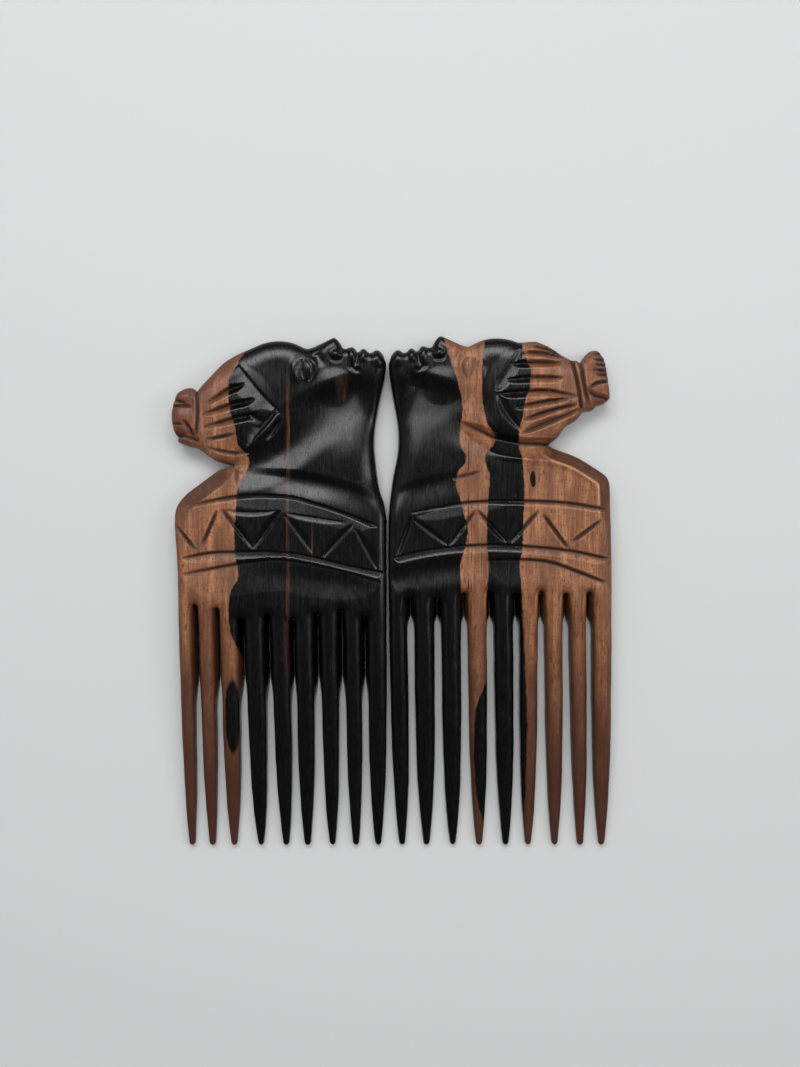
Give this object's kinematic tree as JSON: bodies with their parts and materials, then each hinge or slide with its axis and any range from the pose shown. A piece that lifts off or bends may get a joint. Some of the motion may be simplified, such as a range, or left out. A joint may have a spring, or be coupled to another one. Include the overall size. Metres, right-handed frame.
{
  "type": "hair comb",
  "caption": "Pair of flat carved wooden hair combs: long tapered teeth under a zigzag chest band, a smooth neck and a raised profile head with tied-back hair.",
  "frame": {"origin": "centre of the pair's footprint, on the plane of the combs' flat backs", "axes": "+Z out of the carved fronts, +Y from the tooth tips towards the heads, +X from the left comb to the right comb"},
  "size_m": [0.142, 0.165, 0.009],
  "materials": {
    "sapwood_side": "satin",
    "heartwood_side": "satin"
  },
  "bodies": {
    "left_comb": {"left_comb": "sapwood_side"},
    "right_comb": {"right_comb": "heartwood_side"}
  },
  "joints": [
    {"name": "right_comb_apart", "type": "slide", "parent": "left_comb", "child": "right_comb", "axis": [1, 0, 0], "range_m": [0, 0.05]}
  ]
}
